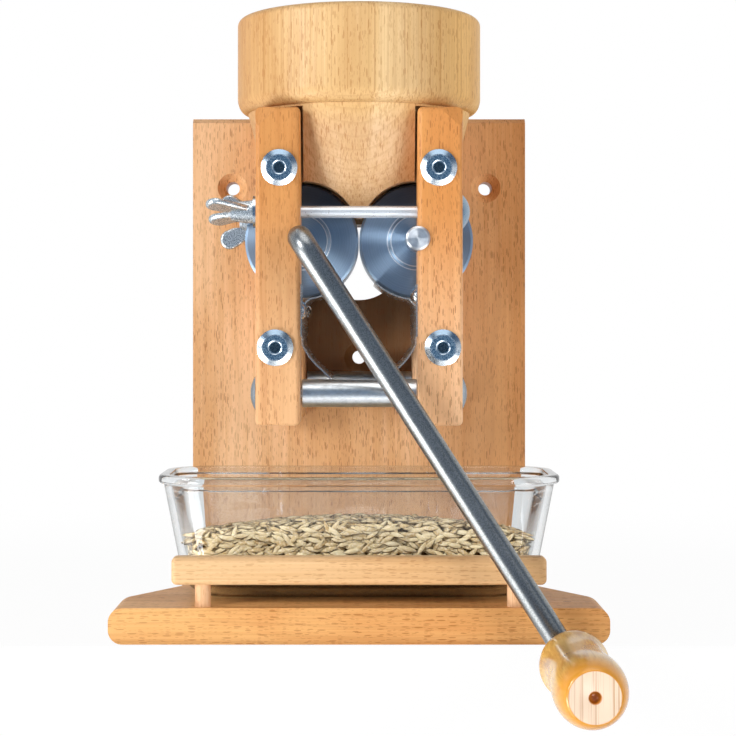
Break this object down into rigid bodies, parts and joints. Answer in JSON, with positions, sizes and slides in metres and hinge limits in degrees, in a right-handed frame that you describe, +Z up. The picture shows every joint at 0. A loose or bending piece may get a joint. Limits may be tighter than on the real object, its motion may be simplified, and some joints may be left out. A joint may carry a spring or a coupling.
{
  "type": "hand crank grain flaker",
  "caption": "Hand cranked grain flaker: wooden hopper over steel rollers between wooden posts, bent crank with turned grip, back board, base and glass dish.",
  "frame": {"origin": "centre of the base board's underside", "axes": "+Z up, +X to the right as the user faces the crank, +Y from the front edge to the back board"},
  "size_m": [0.248, 0.239, 0.3399],
  "materials": {
    "beech": "oiled steamed beech, fine dark flecks along the grain",
    "hopper_beech": "turned and oiled light beech",
    "grip_wood": "turned and varnished honey coloured wood",
    "roller_steel": "turned steel with fine lathe rings",
    "rod_steel": "drawn steel bar, satin and slightly speckled",
    "bright_steel": "bright turned bar",
    "sheet_steel": "polished stainless sheet",
    "zinc": "bright blue-white zinc plate",
    "dish_glass": "clear pressed glass",
    "oats": "loose oat kernels"
  },
  "bodies": {
    "frame": {"base_board": "beech", "back_board": "beech", "front_post_right": "beech", "rear_post_right": "beech", "hopper": "hopper_beech", "frame_bolts": "zinc", "sleeve_nuts": "zinc", "spacer_tube_left": "zinc", "spacer_tube_right": "zinc", "spacer_rod_front": "bright_steel", "spacer_rod_rear": "bright_steel", "rod_bolts": "zinc", "clamp_rod_front": "zinc", "clamp_rod_rear": "zinc", "scraper_right": "sheet_steel", "scraper_screws_right": "zinc", "dish_rail": "beech", "rail_pegs": "beech", "base_screws": "zinc"},
    "left_cheek": {"front_post_left": "beech", "rear_post_left": "beech", "scraper_left": "sheet_steel", "scraper_screws_left": "zinc", "clamp_washers": "zinc"},
    "crank": {"crank_rod": "rod_steel", "left_roller": "roller_steel", "left_roller_key": "rod_steel", "grip_ring": "rod_steel"},
    "driven_roller": {"driven_shaft": "roller_steel", "right_roller": "roller_steel", "right_roller_key": "rod_steel"},
    "grip": {"crank_grip": "grip_wood"},
    "front_nut": {"wing_nut_front": "zinc"},
    "rear_nut": {"wing_nut_rear": "zinc"},
    "dish": {"glass_dish": "dish_glass", "grain_heap": "oats"}
  },
  "joints": [
    {"name": "roller_gap", "type": "hinge", "parent": "frame", "child": "left_cheek", "pos_m": [-0.0414, -0.01, 0.1466], "axis": [0, -1, 0], "range_deg": [0, 0.8]},
    {"name": "crank_turn", "type": "hinge", "parent": "left_cheek", "child": "crank", "pos_m": [-0.0291, -0.01, 0.2006], "axis": [0, 1, 0], "continuous": true},
    {"name": "driven_roller_turn", "type": "hinge", "parent": "frame", "child": "driven_roller", "pos_m": [0.0291, -0.01, 0.2006], "axis": [0, 1, 0], "continuous": true},
    {"name": "grip_spin", "type": "hinge", "parent": "crank", "child": "grip", "pos_m": [0.10326, -0.124, -0.00557], "axis": [0, 1, 0], "continuous": true},
    {"name": "front_nut_turn", "type": "hinge", "parent": "left_cheek", "child": "front_nut", "pos_m": [-0.0529, -0.055, 0.2144], "axis": [-1, 0, 0], "range_deg": [0, 345]},
    {"name": "rear_nut_turn", "type": "hinge", "parent": "left_cheek", "child": "rear_nut", "pos_m": [-0.0529, 0.0323, 0.2144], "axis": [-1, 0, 0], "range_deg": [0, 345]},
    {"name": "dish_slide", "type": "slide", "parent": "frame", "child": "dish", "axis": [1, 0, 0], "range_m": [-0.23, 0.23]}
  ],
  "couplings": [
    {"joint": "driven_roller_turn", "follows": "crank_turn", "ratio": -1},
    {"joint": "roller_gap", "follows": "front_nut_turn", "ratio": 0.002318},
    {"joint": "rear_nut_turn", "follows": "front_nut_turn", "ratio": 1}
  ]
}
